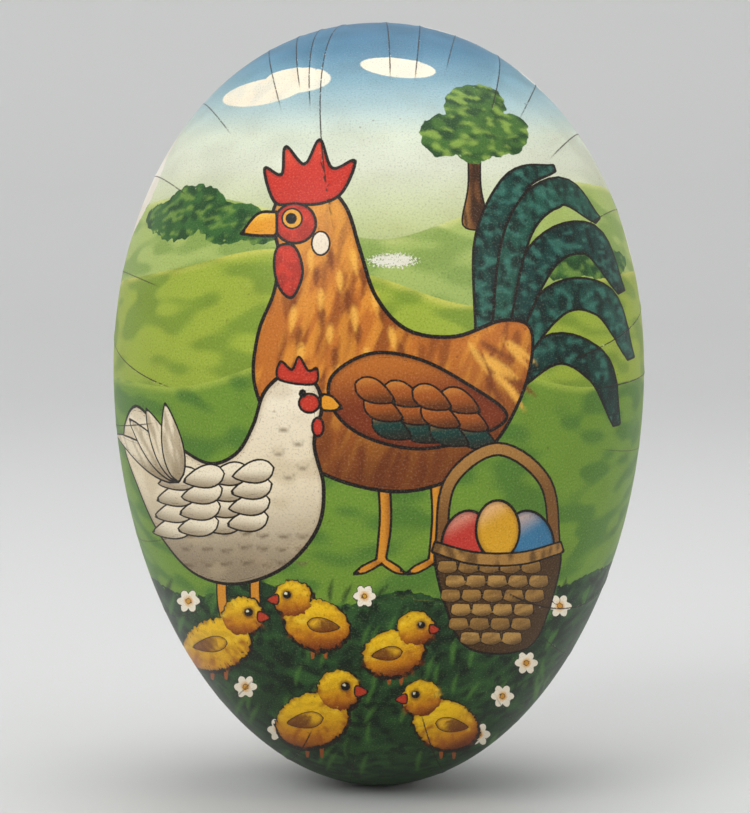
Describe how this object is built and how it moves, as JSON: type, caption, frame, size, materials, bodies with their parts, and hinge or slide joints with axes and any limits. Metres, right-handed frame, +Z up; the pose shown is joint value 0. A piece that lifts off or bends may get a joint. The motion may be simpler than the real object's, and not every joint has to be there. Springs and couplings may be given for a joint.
{
  "type": "card easter egg container",
  "caption": "Hollow pressed-card egg covered in printed paper, in two half shells that push together on an inner collar",
  "frame": {"origin": "tip of the small end, on the long axis", "axes": "+Z up the long axis to the blunt end, -Y out through the middle of the front half, +X to the right of the front view"},
  "size_m": [0.111, 0.111, 0.16],
  "materials": {
    "front_printed_paper": "varnished colour-litho print",
    "back_printed_paper": "varnished colour-litho print",
    "grey_board": "matt pressed grey board",
    "lining_paper": "matt, slightly yellowed",
    "collar_card": "smooth strawboard",
    "gummed_tape": "gummed brown paper"
  },
  "bodies": {
    "back_half": {"back_print": "back_printed_paper", "back_shell": "grey_board", "back_lining": "lining_paper", "collar": "collar_card", "collar_splice": "gummed_tape"},
    "front_half": {"front_print": "front_printed_paper", "front_shell": "grey_board", "front_lining": "lining_paper"}
  },
  "joints": [
    {"name": "front_half_pull", "type": "slide", "parent": "back_half", "child": "front_half", "axis": [0, -1, 0], "range_m": [0, 0.1]}
  ]
}
